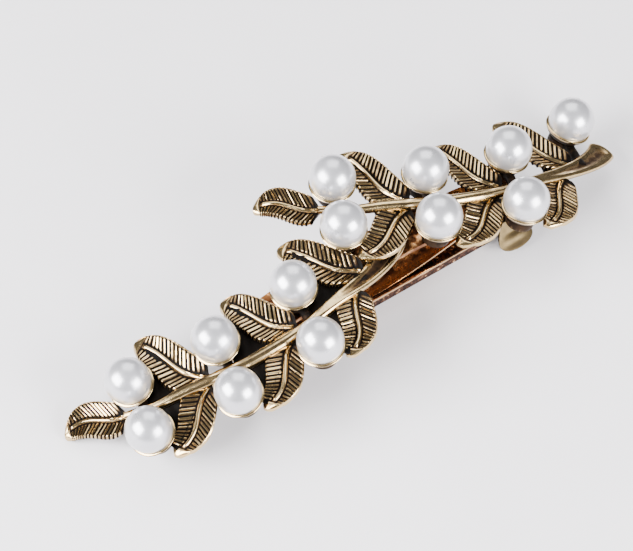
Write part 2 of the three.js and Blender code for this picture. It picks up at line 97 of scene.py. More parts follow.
class BarretteSprigSizes(bpy.types.PropertyGroup):
    pearl_radius: length("Pearl radius", "Half the width of a pearl", 4.0)
    cup_radius: length("Cup radius", "Outside of the cup that holds a pearl", 4.5)
    cup_wall: length("Cup wall", "Thickness of the cup's wall", 0.45)
    cup_rim: length("Cup rim", "How far the rim lies under the pearl's centre", 1.8)
    foot_radius: length("Foot radius", "Half the width of the round boss under a cup", 2.5)
    foot_height: length("Foot height", "Height of the boss under a cup", 1.0)
    stem_drop: length("Stem drop", "From the pearls' centres down to the stem's axis", 3.0)
    stem_tip: length("Stem tip radius", "Half the width of the stem beside the end leaf", 0.7)
    stem_radius: length("Stem radius", "Half the width of the stem along its middle", 1.1)
    stem_flare: length("Stem flare", "Half the width of the stem's open end", 2.5)
    stem_end: length("Stem end", "Thickness of the stem's open end", 1.7)
    leaf_level: length("Leaf drop", "From the pearls' centres down to the leaves", 3.2)
    leaf_thickness: length("Leaf thickness", "Thickness of a leaf's cast wall", 0.65)
    leaf_cup: length("Leaf cup", "How far a leaf's edges rise over its midrib's bed", 0.9)
    midrib: length("Midrib radius", "Half the width of the raised midrib", 0.42)
    rib_height: length("Rib height", "How far the slanting ribs stand over the recesses", 0.34)
    branch: length("Branch radius", "Half the width of the arm from the stem to a cup", 0.9)
    ribs: bpy.props.IntProperty(name="Ribs", default=17,
                                description="Slanting ribs along each half of a leaf")


class BarretteClipSizes(bpy.types.PropertyGroup):
    length: length("Clip length", "From the hinge end to the free end", 59.0)
    arm_width: length("Arm width", "Width of the clasp arm's channel", 6.4)
    arm_floor: length("Arm floor", "Thickness of the arm's floor", 0.8)
    arm_flange: length("Arm flange", "Thickness of the arm's sides", 0.6)
    arm_height: length("Arm height", "Height of the arm's sides", 2.0)
    plate_half: length("Base plate half width", "Half the width of the base plate", 3.7)
    plate_thickness: length("Base plate thickness", "Thickness of the base plate", 0.8)
    plate_radius: length("Base plate arch", "Radius of the base plate's arch", 100.0)
    plate_crown: length("Base plate crown", "Height of the base plate's top at its middle", 11.83)
    lug: length("Lug thickness", "Thickness of a hinge lug", 0.6)
    knuckle: length("Knuckle radius", "Radius of the rounded hinge parts", 1.7)
    pin: length("Pin radius", "Radius of the hinge pin", 0.7)
    pin_gap: length("Pin running gap", "Clear space round the pin", 0.06)
    pin_head: length("Pin head radius", "Radius of the pin's heads", 1.1)
    pin_height: length("Pin height", "Height of the pin's axis", 3.0)
    bar_width: length("Tension bar width", "Width of the sprung strip", 4.8)
    bar_thickness: length("Tension bar thickness", "Thickness of the sprung strip", 0.5)
    bar_eye: length("Tension bar eye", "Radius of the strip's eye round the pin", 1.4)
    rivet: length("Rivet radius", "Radius of the catch plate's rivet", 0.8)
    rivet_head: length("Rivet head radius", "Radius of the rivet's head", 1.3)
    ear_length: length("Ear length", "Length of a release ear's root along the clip", 4.0)
    ear_thickness: length("Ear thickness", "Thickness of a release ear's sheet", 0.6)
    ear_pad: length("Ear pad half width", "Half the oval finger pad along the clip", 3.4)
    ear_drop: length("Ear pad half drop", "Half the finger pad down its slope", 1.8)
    ear_neck: length("Ear neck", "From the ear's root to its finger pad", 1.9)
    ear_slope: bpy.props.FloatProperty(name="Ear slope", default=math.radians(42), subtype="ANGLE",
                                       description="Slope of the finger pad from the vertical")


def tint(name, description, default):
    return bpy.props.FloatVectorProperty(name=name, description=description, default=default,
                                         subtype="COLOR", min=0, max=1)


class BarretteFinishes(bpy.types.PropertyGroup):
    # Rubbed gold also serves as the painted highlight on the leaf tips
    gold: tint("Rubbed gold", "Where the castings are rubbed bright", (0.60, 0.44, 0.222))
    gold_worn: tint("Worn gold", "Between the rubbed gold and the patina", (0.25, 0.162, 0.076))
    # The patina colour in the recesses also fills the dark webs by the stems, where it is painted shadow
    patina_and_shadow: tint("Patina", "The dark left in the castings' recesses", (0.003, 0.002, 0.0015))
    # The two pearl colours are the ends of a painted sheen that follows the view
    pearl: tint("Pearl", "The pearls' colour where they face the eye", (0.50, 0.50, 0.53))
    pearl_edge_sheen: tint("Pearl edge", "The pearls' colour where they turn away", (0.90, 0.87, 0.87))
    # The bright rose gold also colours the painted highlights along the clip's edges
    rose: tint("Rose gold", "The clip's plating where it is bright", (0.85, 0.58, 0.32))
    rose_blotch: tint("Rose gold blotches", "The brown blotches on the clip", (0.25, 0.10, 0.036))
    ear: tint("Pale gold", "The release ears' plating", (0.052, 0.037, 0.018))


class BarretteStage(bpy.types.PropertyGroup):
    distance: bpy.props.FloatProperty(name="Camera distance", default=0.64, unit="LENGTH",
                                      description="From the camera to what it looks at")
    azimuth: bpy.props.FloatProperty(name="Azimuth", description="The camera's turn round the barrette",
                                     default=math.radians(-34.4), subtype="ANGLE")
    elevation: bpy.props.FloatProperty(name="Elevation", description="The camera's height over the horizon",
                                       default=math.radians(54.5), subtype="ANGLE")
    lens: bpy.props.FloatProperty(name="Lens", description="Focal length in millimetres", default=218.4)
    aim: bpy.props.FloatVectorProperty(name="Aim", description="The point the camera looks at",
                                       default=(-0.013, -0.0021, 0.017), subtype="TRANSLATION")


# ---- sums -------------------------------------------------------------------------------

def mix(a, b, share):
    return a + (b - a) * share


def smooth(value, low, high):
    share = min(1.0, max(0.0, (value - low) / (high - low)))
    return share * share * (3 - 2 * share)


def spline_axis(x0, x1, x2, x3, d0, d1, d2, w):
    """One coordinate of a centripetal curve through x1 and x2 at share w."""
    t1 = ((x1 - x0) / d0 - (x2 - x0) / (d0 + d1) + (x2 - x1) / d1) * d1
    t2 = ((x2 - x1) / d1 - (x3 - x1) / (d1 + d2) + (x3 - x2) / d2) * d1
    return x1 + t1 * w + (3 * (x2 - x1) - 2 * t1 - t2) * w * w + (2 * (x1 - x2) + t1 + t2) * w ** 3


def stem_point(share):
    """The stem's middle line in the flat layout."""
    path = [Vector(p) for p in STEM_PATH]
    path = [2 * path[0] - path[1], *path, 2 * path[-1] - path[-2]]
    nearly_all = 0.999999
    place = min(share, nearly_all) * (len(STEM_PATH) - 1)
    k = int(place)
    p0, p1, p2, p3 = path[k:k + 4]
    spans = [math.sqrt((b - a).length) for a, b in ((p0, p1), (p1, p2), (p2, p3))]
    return Vector([spline_axis(p0[i], p1[i], p2[i], p3[i], *spans, place - k) for i in (0, 1)])


def stem_at(u):
    """The stem's sideways place at a distance u along the layout."""
    low, high = 0.0, 1.0
    halvings = 26
    for _ in range(halvings):
        middle = (low + high) / 2
        if stem_point(middle).x < u:
            low = middle
        else:
            high = middle
    return stem_point(low).y


def tilt_at(sprig, u, v):
    """(tilt along the arch, distance across it) of a place in the layout."""
    turn = math.radians(sprig["angle"])
    along = sprig["start"][0] + u * math.cos(turn) - v * math.sin(turn)
    across = sprig["start"][1] + u * math.sin(turn) + v * math.cos(turn)
    return along / ARCH_RADIUS, across


def arch_point(sprig, u, v, height):
    """A place in the sprig's flat layout laid over the arch. Millimetres in, metres out."""
    tilt, across = tilt_at(sprig, u, v)
    reach = ARCH_RADIUS + sprig["lift"] + height
    return Vector((ARCH_CROWN_X + reach * math.sin(tilt), across,
                   PEARL_LEVEL - ARCH_RADIUS + reach * math.cos(tilt))) * MM


def stem_level(sprig, sizes, u):
    """The stem's height from the pearls' centres, in millimetres, with the dip of its open end."""
    return -sizes.stem_drop / MM - sprig["sink"] * smooth(u, SINK_FROM, SINK_TO)


def pearl_places(sprig, sizes):
    """Each pearl's layout place, tilt and centre."""
    places = []
    for u, side, reach in PEARLS[:sprig["pearls"]]:
        v = stem_at(u) + side * (sizes.pearl_radius / MM + reach)
        places.append((u, v, tilt_at(sprig, u, v)[0], arch_point(sprig, u, v, 0)))
    return places


def leaf_half(share):
    """Half a leaf's width at a share of its length, as a share of its widest half."""
    share = max(0.0, min(1.0, share))
    along = (share * 0.94 + 0.05) ** 0.8
    return max(0.0, math.sin(math.pi * along)) ** mix(0.7, 0.42, share) * smooth(share, -0.1, 0.14) * 1.06


def plate_top(clip, x):
    """The height of the arched base plate's top."""
    return clip.plate_crown - clip.plate_radius + math.sqrt(clip.plate_radius ** 2 - x * x)


# ---- modelling --------------------------------------------------------------------------

ROUND_SIDES = 48
BEVEL_ANGLE = math.radians(40)
MERGE_DISTANCE = 0.001 * MM
# Width of the painted highlight along a clip part's long edges
HIGHLIGHT_EDGE = 0.25 * MM


def active(piece):
    bpy.ops.object.select_all(action="DESELECT")
    piece.select_set(True)
    bpy.context.view_layer.objects.active = piece


def named(piece, name):
    piece.name = name
    piece.data.name = name
    return piece


@contextmanager
def editing(piece):
    """Opens a piece for editing with its whole mesh selected, and closes it again."""
    active(piece)
    bpy.ops.object.mode_set(mode="EDIT")
    bpy.ops.mesh.select_all(action="SELECT")
    yield
    bpy.ops.object.mode_set(mode="OBJECT")


def settled(piece):
    """Applies a piece's place, turn and scale to its mesh."""
    active(piece)
    bpy.ops.object.transform_apply(location=True, rotation=True, scale=True)
    return piece


def made(name, primitive, **settings):
    """Adds a primitive with nothing else selected."""
    bpy.ops.object.select_all(action="DESELECT")
    primitive(**settings)
    return settled(named(bpy.context.object, name))


def box(name, low, high):
    low, high = Vector(low), Vector(high)
    return made(name, bpy.ops.mesh.primitive_cube_add, size=1, location=(low + high) / 2, scale=high - low)


def rod_across(name, radius, x, z, low_y, high_y):
    return made(name, bpy.ops.mesh.primitive_cylinder_add, vertices=ROUND_SIDES, radius=radius,
                depth=high_y - low_y, location=(x, (low_y + high_y) / 2, z), rotation=(math.pi / 2, 0, 0))


def rod_up(name, radius, x, y, low_z, high_z, sides=ROUND_SIDES):
    return made(name, bpy.ops.mesh.primitive_cylinder_add, vertices=sides, radius=radius,
                depth=high_z - low_z, location=(x, y, (low_z + high_z) / 2))


def copied(piece, name):
    """A copy with its own mesh."""
    active(piece)
    bpy.ops.object.duplicate(linked=False)
    return named(bpy.context.object, name)


def joined(pieces, name):
    bpy.ops.object.select_all(action="DESELECT")
    for piece in pieces:
        piece.select_set(True)
    bpy.context.view_layer.objects.active = pieces[0]
    bpy.ops.object.join()
    return named(bpy.context.object, name)


def with_modifier(piece, kind, **settings):
    active(piece)
    modifier = piece.modifiers.new(kind.lower(), kind)
    for key, value in settings.items():
        setattr(modifier, key, value)
    bpy.ops.object.modifier_apply(modifier=modifier.name)
    return piece


def combined(piece, others, operation):
    """Adds other solids to a piece or cuts them out of it, and removes them."""
    for other in others:
        with_modifier(piece, "BOOLEAN", object=other, operation=operation, solver="EXACT")
        bpy.data.objects.remove(other)


def cleaned(piece, angle=35):
    """Merges doubles, turns every face outward and smooths all but the sharp edges."""
    with editing(piece):
        bpy.ops.mesh.remove_doubles(threshold=MERGE_DISTANCE)
        bpy.ops.mesh.normals_make_consistent(inside=False)
    bpy.ops.object.shade_smooth_by_angle(angle=math.radians(angle))
    return piece


def rounded(piece, width, segments=2):
    with_modifier(piece, "BEVEL", width=width, segments=segments, limit_method="ANGLE",
                  angle_limit=BEVEL_ANGLE, harden_normals=False)
    return cleaned(piece)


def grid(name, rows, columns):
    """A flat unit sheet, shaped afterwards by moving its vertices."""
    return made(name, bpy.ops.mesh.primitive_grid_add, x_subdivisions=rows, y_subdivisions=columns, size=1)


def moved(piece, place):
    """Moves every vertex to where place(old position) puts it."""
    for vertex in piece.data.vertices:
        vertex.co = place(vertex.co.copy())
    piece.data.update()
    return piece


def facing_up(piece):
    """Makes an open sheet's faces agree, and turns them over if they look down."""
    with editing(piece):
        bpy.ops.mesh.normals_make_consistent(inside=False)
    if sum(face.normal.z for face in piece.data.polygons) < 0:
        with editing(piece):
            bpy.ops.mesh.flip_normals()
    return piece


def thickened_down(piece, thickness):
    """Gives an open sheet its thickness straight down."""
    with editing(piece):
        bpy.ops.mesh.extrude_region_move(TRANSFORM_OT_translate={"value": (0, 0, -thickness)})
        bpy.ops.mesh.select_all(action="SELECT")
        bpy.ops.mesh.normals_make_consistent(inside=False)
    return piece


def relief_layer(piece):
    """Where a piece keeps how raised, and so how rubbed bright, each of its points is, from 0 to 1. Some
    pieces also keep painted highlights and painted shade in it.
    """
    return piece.data.attributes.get("raised") or piece.data.attributes.new("raised", "FLOAT", "POINT")


def relief(piece, value_of):
    """Stores value_of(place) as the relief of every point."""
    layer = relief_layer(piece)
    for vertex in piece.data.vertices:
        layer.data[vertex.index].value = value_of(vertex.co)
    return piece


def painted_edge_highlight(piece, half, above=-1.0, share=1.0):
    """Paints a highlight along the long edges of a clip part, over a height, by raising their relief."""
    inside, edge = half - HIGHLIGHT_EDGE, half - 0.3 * HIGHLIGHT_EDGE
    return relief(piece, lambda co: share * smooth(abs(co.y), inside, edge) * (co.z > above))


def strip(name, low_x, high_x, half, top_of, thickness, steps):
    """A sheet along X whose top follows top_of(x)."""
    def place(p):
        x = mix(low_x, high_x, p.x + 0.5)
        return Vector((x, p.y * 2 * half, top_of(x)))

    return with_modifier(moved(grid(name, steps, 2), place), "SOLIDIFY", thickness=thickness, offset=-1)


def finished(piece, body, node, finish):
    """Gives a piece its finish, parents it to its moving body and hides the CAD part that has the node's
    name.
    """
    piece.data.materials.clear()
    piece.data.materials.append(bpy.data.materials.get(finish) or FINISHES[finish](finish))
    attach(piece, body)
    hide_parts(node)
    bpy.ops.object.select_all(action="DESELECT")


# ---- materials --------------------------------------------------------------------------

def plugged(tree, node, **inputs):
    """Links each input that is given another node's output, and writes plain values into the others."""
    for name, value in inputs.items():
        socket = node.inputs[name.replace("_", " ")]
        if isinstance(value, bpy.types.NodeSocket):
            tree.links.new(value, socket)
        else:
            socket.default_value = value
    return node


def add_node(tree, kind, **inputs):
    return plugged(tree, tree.nodes.new(kind), **inputs)


def ramp(tree, source, stops):
    node = add_node(tree, "ShaderNodeValToRGB", Fac=source)
    elements = node.color_ramp.elements
    while len(elements) < len(stops):
        elements.new(0.5)
    for element, (place, shade) in zip(elements, stops):
        element.position = place
        element.color = (*shade, 1)
    return node.outputs["Color"]


def ranged(tree, source, low, high, from_low=0.0, from_high=1.0):
    """Carries a value from one range to another, and holds it at the ends."""
    return add_node(tree, "ShaderNodeMapRange", Value=source, From_Min=from_low, From_Max=from_high,
                    To_Min=low, To_Max=high).outputs["Result"]


def math_node(tree, operation, *terms):
    node = tree.nodes.new("ShaderNodeMath")
    node.operation = operation
    for socket, term in zip(node.inputs, terms):
        tree.links.new(term, socket)
    return node.outputs[0]


def noise(tree, vector, scale, detail=3.0):
    return add_node(tree, "ShaderNodeTexNoise", Vector=vector, Scale=scale, Detail=detail).outputs["Fac"]


def relief_and_painted_light(tree):
    """How raised each point is, from the piece's own relief, with the painted highlights and painted shade
    that the relief also carries.
    """
    node = tree.nodes.new("ShaderNodeAttribute")
    node.attribute_name = "raised"
    return node.outputs["Fac"]


def bumped(tree, shader, height, distance, strength=0.5):
    bump = add_node(tree, "ShaderNodeBump", Strength=strength, Distance=distance, Height=height)
    plugged(tree, shader, Normal=bump.outputs["Normal"])


def new_material(name):
    """(material, tree, shader, object coordinates) of a fresh material."""
    material = bpy.data.materials.new(name)
    material.use_nodes = True
    tree = material.node_tree
    place = tree.nodes.new("ShaderNodeTexCoord").outputs["Object"]
    return material, tree, tree.nodes["Principled BSDF"], place


def group_tree(name, inputs, outputs):
    tree = bpy.data.node_groups.new(name, "ShaderNodeTree")
    for label, kind, direction in [(*i, "INPUT") for i in inputs] + [(*o, "OUTPUT") for o in outputs]:
        tree.interface.new_socket(name=label, in_out=direction, socket_type=kind)
    return tree, tree.nodes.new("NodeGroupInput"), tree.nodes.new("NodeGroupOutput")


def wear_group():
    """How worn a point is: its relief, painted light included, broken up by coarse and fine noise."""
    known = bpy.data.node_groups.get("Worn Relief")
    if known:
        return known
    tree, inside, outside = group_tree(
        "Worn Relief", [("Vector", "NodeSocketVector"), ("Relief", "NodeSocketFloat")],
        [("Worn", "NodeSocketFloat"), ("Grain", "NodeSocketFloat")])
    coarse = ranged(tree, noise(tree, inside.outputs["Vector"], 700), -0.1, 0.1, 0.3, 0.7)
    grain = noise(tree, inside.outputs["Vector"], 3800, 2.0)
    fine = ranged(tree, grain, -0.05, 0.05, 0.3, 0.7)
    broken = math_node(tree, "ADD", coarse, fine)
    plugged(tree, outside, Worn=math_node(tree, "ADD", inside.outputs["Relief"], broken), Grain=grain)
    return tree


def worn(tree, place, relief_source):
    """(how worn, painted light in the relief included; grain) at each point of a finish."""
    node = tree.nodes.new("ShaderNodeGroup")
    node.node_tree = wear_group()
    plugged(tree, node, Vector=place, Relief=relief_source)
    return node.outputs["Worn"], node.outputs["Grain"]


def antique_gold(name):
    """Cast metal plated pale gold, with dark patina left in its recesses, and with the painted highlights and
    painted shade that some pieces keep in their relief.
    """
    material, tree, shader, place = new_material(name)
    colors = bpy.context.scene.barrette_finishes
    mask, grain = worn(tree, place, relief_and_painted_light(tree))
    shade = ramp(tree, mask, [(0.2, colors.patina_and_shadow), (0.42, (0.03, 0.016, 0.008)),
                              (0.6, colors.gold_worn), (0.82, colors.gold)])
    plugged(tree, shader, Base_Color=shade, Roughness=ranged(tree, mask, 0.6, 0.2, 0.1, 0.75),
            Metallic=ranged(tree, mask, 0.0, 1.0, 0.3, 0.6), Specular_IOR_Level=0.06)
    bumped(tree, shader, grain, 0.000006)
    return material


def pearl_white(name):
    """A glossy imitation pearl with a painted sheen: grey where it faces the eye, a little paler and pinker
    where it turns away.
    """
    material, tree, shader, place = new_material(name)
    colors = bpy.context.scene.barrette_finishes
    # The facing ramp below is a painted sheen
    facing = add_node(tree, "ShaderNodeLayerWeight", Blend=0.35)
    shade = ramp(tree, facing.outputs["Facing"], [(0.0, colors.pearl), (0.45, (0.56, 0.555, 0.58)),
                                                  (1.0, colors.pearl_edge_sheen)])
    plugged(tree, shader, Base_Color=shade, Metallic=0.62, Coat_Weight=0.8, Coat_Roughness=0.2,
            Roughness=ranged(tree, noise(tree, place, 260), 0.26, 0.35, 0.3, 0.7))
    return material


def rose_gold(name):
    """Rose-gold plating with dark red-brown blotches, and a painted highlight along its edges."""
    material, tree, shader, place = new_material(name)
    colors = bpy.context.scene.barrette_finishes
    blotch = ranged(tree, noise(tree, place, 620, 4.0), 0.0, 0.85, 0.38, 0.64)
    mask, grain = worn(tree, place, math_node(tree, "MAXIMUM", blotch, relief_and_painted_light(tree)))
    shade = ramp(tree, mask, [(0.15, (0.04, 0.014, 0.007)), (0.5, colors.rose_blotch),
                              (0.78, (0.58, 0.30, 0.12)), (0.98, colors.rose)])
    plugged(tree, shader, Base_Color=shade, Metallic=1.0,
            Roughness=ranged(tree, mask, 0.45, 0.18, 0.2, 0.9))
    bumped(tree, shader, grain, 0.00001)
    return material


def shaded_rose_gold(name):
    """Rose-gold plating painted dark reddish brown as shade, with bright specks as painted glints and a
    painted highlight along its edges.
    """
    material, tree, shader, place = new_material(name)
    # Painted glints and edge highlights over a colour painted dark as shade
    specks = math_node(tree, "MAXIMUM", noise(tree, place, 1500, 4.0), relief_and_painted_light(tree))
    mask, grain = worn(tree, place, specks)
    shade = ramp(tree, mask, [(0.45, (0.022, 0.007, 0.004)), (0.62, (0.11, 0.036, 0.016)),
                              (0.78, (0.85, 0.56, 0.31))])
    plugged(tree, shader, Base_Color=shade, Metallic=0.85, Specular_IOR_Level=0.15,
            Roughness=ranged(tree, mask, 0.45, 0.22, 0.4, 0.7))
    bumped(tree, shader, grain, 0.00002)
    return material


def pale_gold(name):
    """Matte pale beige gold plating on the release ears."""
    material, tree, shader, place = new_material(name)
    pale = Vector(bpy.context.scene.barrette_finishes.ear)
    mask, grain = worn(tree, place, 0.6)
    shade = ramp(tree, mask, [(0.3, 0.6 * pale), (0.6, pale), (0.9, 1.5 * pale)])
    plugged(tree, shader, Base_Color=shade, Metallic=1.0, Roughness=ranged(tree, mask, 0.46, 0.32))
    bumped(tree, shader, grain, 0.00001)
    return material


def floor_paper(name):
    """Smooth pale paper."""
    material, tree, shader, place = new_material(name)
    shade = ramp(tree, noise(tree, place, 30), [(0.3, (0.71, 0.69, 0.72)), (0.7, (0.74, 0.72, 0.75))])
    plugged(tree, shader, Base_Color=shade, Roughness=0.75)
    bumped(tree, shader, noise(tree, place, 900), 0.00002, 0.2)
    return material


# Each finish is made the first time that a piece asks for it
FINISHES = {
    "Antique Gold": antique_gold,
    "Pearl White": pearl_white,
    "Rose Gold": rose_gold,
    "Shaded Rose Gold": shaded_rose_gold,
    "Pale Gold": pale_gold,
}


# ---- sprig castings ---------------------------------------------------------------------

# Bands along a leaf in which a feature comes in or goes out, as shares of its length
MIDRIB_START, MIDRIB_END = (0.01, 0.07), (0.84, 0.92)
RIBS_END = (0.87, 0.91)
TIP_START = (0.88, 0.93)
DROOP_START = 0.88

# Bands across half a leaf: the ribs' roots in millimetres from its middle, the rest as shares of its width
RIB_ROOTS = (0.5, 0.8)
RIB_ENDS = (0.88, 0.93)
RIM = (0.91, 0.96)
ROLLED_EDGE = (0.93, 1.0)

MIDRIB_HEIGHT = 0.55 * MM
RIM_HEIGHT = 0.14 * MM
TIP_DOME = 0.35 * MM
TIP_DROOP = 0.5 * MM
EDGE_DROP = 0.3 * MM
RIB_SLANT = math.tan(math.radians(30))


def rib_pulse(sizes, share, front):
    """How high the ribs stand at a share of a leaf's length, from 0 to 1, a little unevenly."""
    count = share * sizes.ribs + (0.35 if front else 0.0)
    pulse = smooth(0.5 + 0.5 * math.cos(math.tau * count), 0.16, 0.6)
    return pulse * (0.84 + 0.16 * math.sin(5.3 * round(count) + (3 if front else 0)))


def leaf_height(sizes, share, edge):
    """(height over a leaf's bed, how raised) at a share of its length and, from -1 to 1, of its half width.
    The half at edge > 0 has free rib ends, and the half at edge < 0 has a thin rim."""
    off = abs(edge) * nominal_half(share)
    front = edge > 0
    pulse = rib_pulse(sizes, share, front)
    zone = smooth(off, *RIB_ROOTS) * (1 - smooth(share, *RIBS_END))
    if not front:
        zone *= 1 - smooth(-edge, *RIB_ENDS)
    fade = (1 - smooth(share, *MIDRIB_END)) * smooth(share, *MIDRIB_START)
    spread = off / (sizes.midrib / MM)
    round_top = math.sqrt(max(0.0, 1 - spread * spread))
    split = 0.5 * math.exp(-(off / 0.1) ** 2) * (1 - smooth(share, 0.12, 0.35))
    rim = 0.0 if front else smooth(-edge, *RIM)
    tip = smooth(share, *TIP_START)
    bed = sizes.leaf_cup * (abs(edge) ** 1.25 - 0.45) * (1 - 0.8 * smooth(share, 0.7, 1))
    height = bed + sizes.rib_height * (pulse * zone - 0.35 * zone)
    height += MIDRIB_HEIGHT * (round_top - split) * fade
    height += RIM_HEIGHT * rim + TIP_DOME * tip * (1 - edge * edge)
    height -= TIP_DROOP * max(0.0, (share - DROOP_START) / (1 - DROOP_START)) ** 1.6
    height -= EDGE_DROP * smooth(abs(edge), *ROLLED_EDGE) * (1 - tip)
    # lit darkens the ribs and rim near the leaf's base and beside its midrib: painted shade
    lit = mix(0.25, 1.0, smooth(share + 0.1 * abs(edge), 0.0, 0.16)) * mix(0.7, 1.0, smooth(off, 0.6, 1.2))
    # The tip is counted fully raised: partly rubbed gold, partly a painted highlight
    raised = max(pulse * zone * lit * 0.95, 0.92 * rim * lit, tip, smooth(round_top, 0.2, 0.55) * fade)
    return height, raised


def nominal_half(share):
    """Half the width of a common leaf, in millimetres."""
    return 3.4 * leaf_half(share)


def leaf_master(sizes):
    """One leaf as a unit sheet with its midrib, rim and slanting ribs raised."""
    along_steps, across_steps = 114, 40
    piece = grid("leaf_master", along_steps, across_steps)
    layer = relief_layer(piece)
    for vertex in piece.data.vertices:
        share, edge = vertex.co.x + 0.5, vertex.co.y * 2
        height, raised = leaf_height(sizes, share, edge)
        vertex.co = (share, edge, height)
        layer.data[vertex.index].value = raised
    return piece


def fitted_leaf(master, name, sprig, sizes, leaf):
    """A copy of the leaf, given its own length, width, bow and place over the arch."""
    (u0, v0), (u1, v1), half, bow, rise = leaf
    reach = math.hypot(u1 - u0, v1 - v0)
    du, dv = (u1 - u0) / reach, (v1 - v0) / reach
    hand = 1 if v1 > v0 else -1
    level = -sizes.leaf_level / MM
    settling_rounds = 14

    def place(p):
        lean = RIB_SLANT * (1 - smooth(p.x, 0.55, 0.97))
        width = half * leaf_half(p.x)
        for _ in range(settling_rounds):
            width = mix(width, half * leaf_half(p.x + lean * width * abs(p.y) / reach), 0.6)
        along = p.x * reach + lean * width * abs(p.y) - 0.28 * width * p.y ** 2 * smooth(p.x, 0.82, 1)
        share = min(1.0, along / reach)
        curve = bow * math.sin(math.pi * share) + 0.6 * hand * math.sin(math.tau * share)
        side = curve + p.y * hand * width
        return arch_point(sprig, u0 + du * along - dv * side, v0 + dv * along + du * side,
                          level + rise * share * share + p.z / MM)

    return thickened_down(facing_up(moved(copied(master, name), place)), sizes.leaf_thickness)


def stem_piece(name, sprig, sizes):
    """A round wire that swells along its length into a flat, grooved open end."""
    along_steps, around_steps = 150, 24
    step = 0.002
    lip, lip_length = 0.955, 0.045
    piece = grid(name, along_steps, around_steps)
    layer = relief_layer(piece)
    for vertex in piece.data.vertices:
        share = vertex.co.x + 0.5
        turn = math.tau * vertex.co.y
        p = stem_point(share)
        d = (stem_point(min(1, share + step)) - stem_point(max(0, share - step))).normalized()
        wire = mix(sizes.stem_tip, sizes.stem_radius, smooth(share, 0, 0.3)) / MM
        flare = smooth(share, 0.55, 1)
        closing = math.sqrt(1 - 0.9 * ((max(0.0, share - lip) / lip_length) ** 2))
        half = mix(wire, sizes.stem_flare / MM, flare) * closing
        tall = mix(wire, sizes.stem_end / MM / 2, flare) * closing
        x, z = math.cos(turn), math.sin(turn)
        deep = max(0.0, z) ** 5 * smooth(share, 0.5, 0.8) * (1 - smooth(share, 0.93, 1.0))
        groove = sprig["groove"] * deep
        height = stem_level(sprig, sizes, p.x) + z * tall - groove * tall
        vertex.co = arch_point(sprig, p.x + d.y * x * half, p.y - d.x * x * half, height)
        # The stem's relief falls in its groove, where patina stays, and on its underside, which is painted
        # shade
        layer.data[vertex.index].value = 0.78 - 0.5 * smooth(groove, 0.25, 1.0) - 0.45 * smooth(-z, -0.1, 0.7)
    with editing(piece):
        bpy.ops.mesh.remove_doubles(threshold=5 * MERGE_DISTANCE)
        bpy.ops.mesh.select_all(action="DESELECT")
        bpy.ops.mesh.select_mode(type="EDGE")
        bpy.ops.mesh.select_non_manifold()
        bpy.ops.mesh.fill_holes(sides=0)
        bpy.ops.mesh.select_mode(type="VERT")
    return piece


def cup_master(sizes):
    """A round cup cut from a ball, thickened inwards, on a round foot. Its pearl's centre is the origin."""
    cup = made("cup_master", bpy.ops.mesh.primitive_uv_sphere_add, segments=40, ring_count=28,
               radius=sizes.cup_radius)
    with editing(cup):
        bpy.ops.mesh.bisect(plane_co=(0, 0, -sizes.cup_rim), plane_no=(0, 0, 1), clear_outer=True)
    with_modifier(cup, "SOLIDIFY", thickness=sizes.cup_wall, offset=-1)
    rounded(cup, 0.12 * MM)
    foot = rod_up("cup_foot", sizes.foot_radius, 0, 0, -sizes.cup_radius - sizes.foot_height,
                  -sizes.cup_radius + 0.5 * MM, 32)
    rounded(foot, 0.15 * MM)
    cup = joined([cup, foot], "cup_master")
    rim = -sizes.cup_rim

    def raised(co):
        low = smooth(-co.z, sizes.cup_radius - 0.2 * MM, sizes.cup_radius)
        return max(smooth(co.z, rim - 0.7 * MM, rim - 0.15 * MM), 0.3, 0.38 * low)

    return relief(cup, raised)


def placed(piece, tilt, centre):
    """Turns a piece made round a pearl's centre to the arch's tilt and sets it there."""
    piece.rotation_euler = (0, tilt, 0)
    piece.location = centre
    return settled(piece)


def branch_piece(name, sprig, sizes, u, v):
    """The short arm of metal from the stem to a cup's foot."""
    start = arch_point(sprig, u, stem_at(u), stem_level(sprig, sizes, u) - 0.2)
    end = arch_point(sprig, u, v, -sizes.cup_radius / MM + 0.2)
    way = end - start
    piece = made(name, bpy.ops.mesh.primitive_cylinder_add, vertices=20, radius=sizes.branch,
                 depth=way.length, location=(start + end) / 2,
                 rotation=way.to_track_quat("Z", "Y").to_euler())
    return relief(piece, lambda co: 0.22)


def web_piece(name, sprig, sizes, leaf):
    """A thin sheet between a leaf's midrib and the stem, near black, standing in as painted shadow in the
    gap.
    """
    (u0, v0), (u1, v1), _, _, _ = leaf
    reach = math.hypot(u1 - u0, v1 - v0)
    along = sprig["web"]
    level = -sizes.leaf_level / MM - 0.35
    tip_u, tip_v = u0 + (u1 - u0) / reach * along, v0 + (v1 - v0) / reach * along

    def place(p):
        share, across = p.x + 0.5, p.y + 0.5
        foot_u = mix(u0, u0 - along, share)
        top_u, top_v = mix(u0, tip_u, share), mix(v0, tip_v, share)
        sag = 0.4 * math.sin(math.pi * across)
        ripple = 0.05 * math.sin(40 * share)
        return arch_point(sprig, mix(foot_u, top_u, across) - sag * share,
                          mix(stem_at(foot_u), top_v, across), level - sag + ripple)

    piece = moved(grid(name, 40, 10), place)
    with_modifier(piece, "SOLIDIFY", thickness=0.5 * MM, offset=0)
    # The low relief paints these sheets near black, as shadow
    return relief(piece, lambda co: 0.08)


